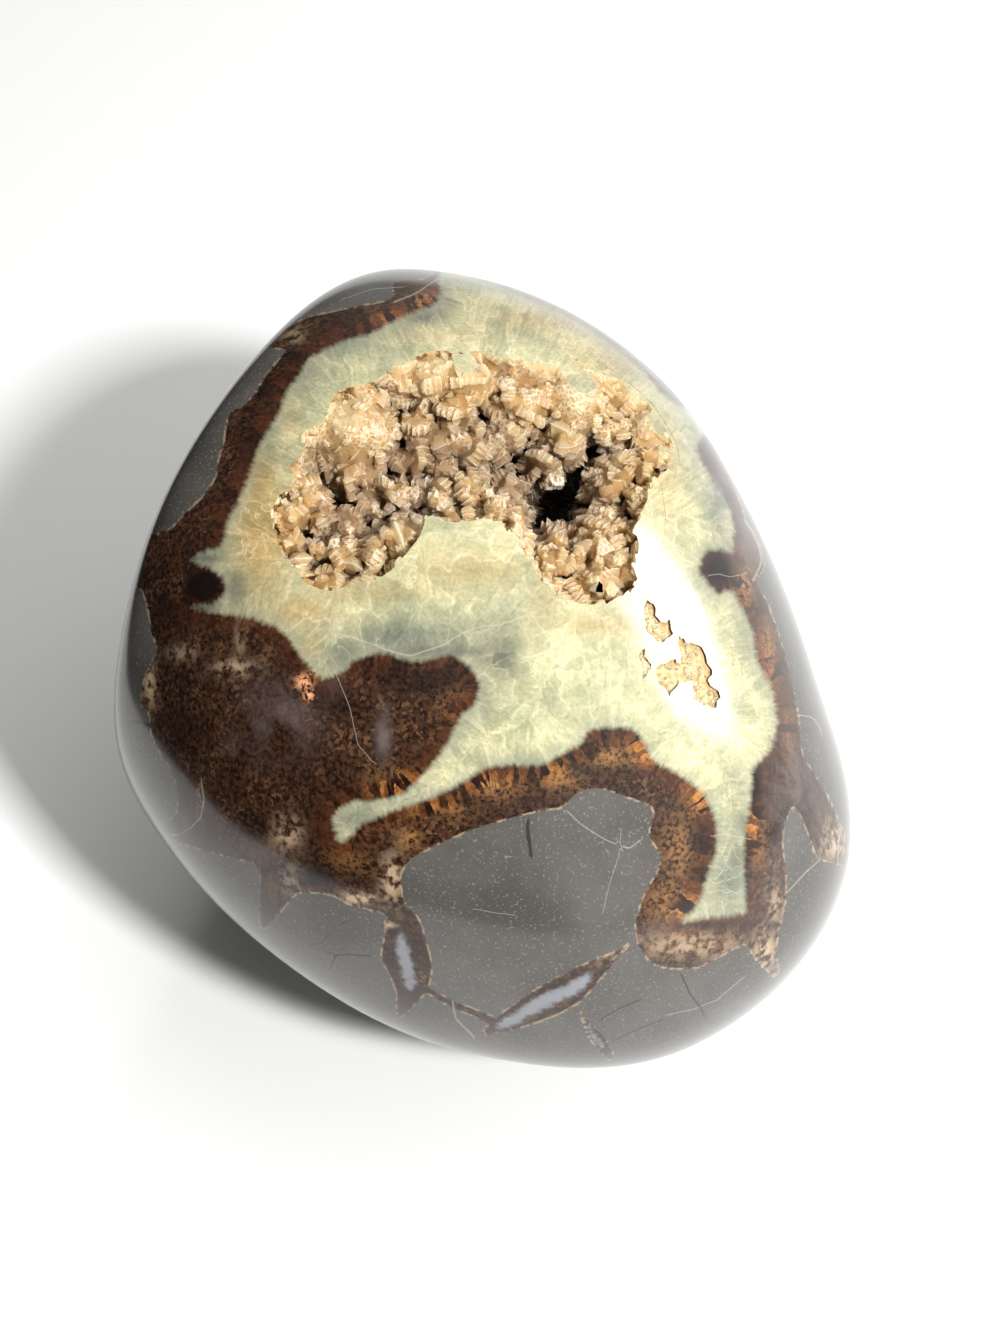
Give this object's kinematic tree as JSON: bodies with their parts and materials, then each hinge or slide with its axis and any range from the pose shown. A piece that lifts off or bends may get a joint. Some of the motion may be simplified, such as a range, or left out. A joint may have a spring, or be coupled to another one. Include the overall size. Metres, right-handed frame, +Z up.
{
  "type": "septarian nodule",
  "caption": "Polished egg-shaped septarian nodule, with brown and pale calcite veins in grey stone, that stands on a small flat and shows a crystal-lined hollow in its top.",
  "frame": {"origin": "middle of the stone's box at the level of the flat that it stands on", "axes": "+Z up, out of the flat; +Y along the stone's long axis, from the front to the back; -Y is the front, below the open hollow; +X to the right as seen from the front"},
  "size_m": [0.1132, 0.1359, 0.1075],
  "materials": {
    "stone": "polished grey mudstone veined with brown aragonite and pale green and yellow calcite",
    "calcite_crystals": "natural honey-coloured calcite crystals with flat glassy faces"
  },
  "bodies": {
    "root": {"nodule": "stone", "crystal_crust": "calcite_crystals"}
  },
  "joints": []
}
